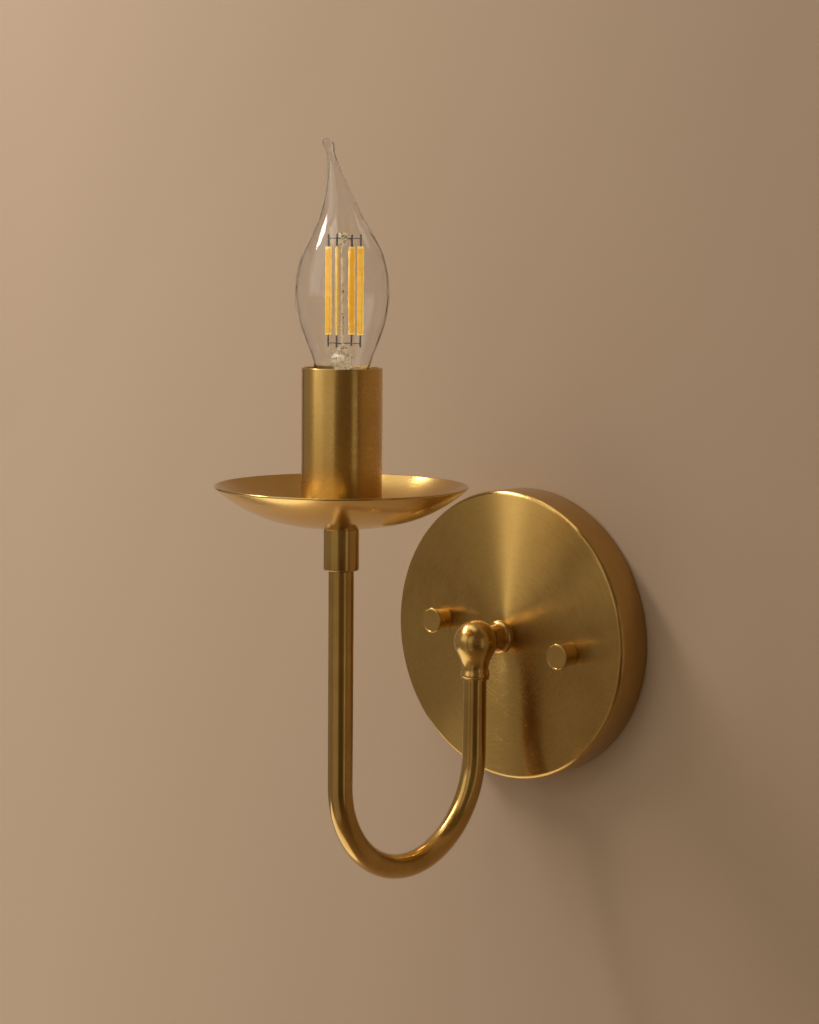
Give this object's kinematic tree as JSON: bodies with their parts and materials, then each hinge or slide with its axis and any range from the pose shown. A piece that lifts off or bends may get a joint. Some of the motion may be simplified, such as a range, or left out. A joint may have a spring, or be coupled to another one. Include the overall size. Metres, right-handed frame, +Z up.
{
  "type": "wall_sconce",
  "caption": "Brass wall sconce: round backplate, ball elbow, U-shaped tube arm, drip dish and candle sleeve with a flame-tip filament lamp.",
  "frame": {"origin": "Centre of the backplate on the wall plane, midway between the two wall box screws.", "axes": "+Y into the wall, -Y into the room, +Z up along the candle, +X to the right as seen from the room."},
  "size_m": [0.119, 0.1593, 0.2837],
  "materials": {
    "zinc_plate": "dull zinc plate",
    "green_screw": "green painted screw",
    "terminal_plastic": "moulded, matt",
    "backplate_brass": "aged, turned with fine circular lines",
    "polished_brass": "aged, smooth satin",
    "tube_brass": "aged, brushed along the tube",
    "dish_brass": "aged, spun satin",
    "sleeve_brass": "aged, brushed",
    "contact_brass": "bright, stamped",
    "holder_plastic": "moulded phenolic, matt",
    "black_plastic": "smooth",
    "lead_insulation": "smooth",
    "earth_insulation": "smooth",
    "lamp_cap": "formed, satin nickel look",
    "lamp_glass": "clear",
    "lamp_wire": "dark drawn wire",
    "filament": "amber phosphor coat"
  },
  "bodies": {
    "fixture": {"mounting_strap": "zinc_plate", "earth_screw": "green_screw", "terminal_block": "terminal_plastic", "terminal_screws": "zinc_plate", "block_screw": "zinc_plate", "canopy": "backplate_brass", "elbow": "polished_brass", "wall_nipple": "zinc_plate", "canopy_washer": "zinc_plate", "earth_tag": "zinc_plate", "wall_lock_nut": "zinc_plate", "nipple_bush": "black_plastic", "earth_lead": "earth_insulation", "arm_tube": "tube_brass", "coupler": "polished_brass", "holder_nipple": "zinc_plate", "dish": "dish_brass", "dish_lock_nut": "zinc_plate", "holder_bracket": "zinc_plate", "bracket_rivets": "contact_brass", "holder_base": "holder_plastic", "holder_body": "holder_plastic", "screw_shell": "contact_brass", "centre_contact": "contact_brass", "holder_terminals": "contact_brass", "lead_line": "black_plastic", "lead_neutral": "lead_insulation"},
    "sleeve": {"candle_sleeve": "sleeve_brass"},
    "lamp_contact": {"bulb_contact": "zinc_plate"},
    "lamp": {"bulb_cap": "lamp_cap", "bulb_insulator": "black_plastic", "bulb_glass": "lamp_glass", "bulb_stem": "lamp_glass", "bulb_wires": "lamp_wire", "bulb_filaments": "filament"},
    "stud_left": {"thumb_stud_left": "zinc_plate"},
    "knob_left": {"thumb_knob_left": "polished_brass"},
    "stud_right": {"thumb_stud_right": "zinc_plate"},
    "knob_right": {"thumb_knob_right": "polished_brass"}
  },
  "joints": [
    {"name": "sleeve_lift", "type": "slide", "parent": "fixture", "child": "sleeve", "axis": [0, 0, 1], "range_m": [0, 0.008]},
    {"name": "lamp_rise", "type": "slide", "parent": "fixture", "child": "lamp_contact", "axis": [0, 0, 1], "range_m": [0, 0.01016]},
    {"name": "lamp_turn", "type": "hinge", "parent": "lamp_contact", "child": "lamp", "pos_m": [0, -0.1115, 0.077], "axis": [0, 0, 1], "range_deg": [0, 1440]},
    {"name": "left_screw_out", "type": "slide", "parent": "fixture", "child": "stud_left", "axis": [0, -1, 0], "range_m": [0, 0.00357]},
    {"name": "left_screw_turn", "type": "hinge", "parent": "stud_left", "child": "knob_left", "pos_m": [-0.03334, -0.016, 0.00327], "axis": [0, -1, 0], "range_deg": [0, 1620]},
    {"name": "right_screw_out", "type": "slide", "parent": "fixture", "child": "stud_right", "axis": [0, -1, 0], "range_m": [0, 0.00357]},
    {"name": "right_screw_turn", "type": "hinge", "parent": "stud_right", "child": "knob_right", "pos_m": [0.03334, -0.016, -0.00327], "axis": [0, -1, 0], "range_deg": [0, 1620]}
  ],
  "couplings": [
    {"joint": "lamp_rise", "follows": "lamp_turn", "m_per_rad": 0.00040425},
    {"joint": "left_screw_turn", "follows": "left_screw_out", "rad_per_m": 7915.8},
    {"joint": "right_screw_turn", "follows": "right_screw_out", "rad_per_m": 7915.8}
  ]
}
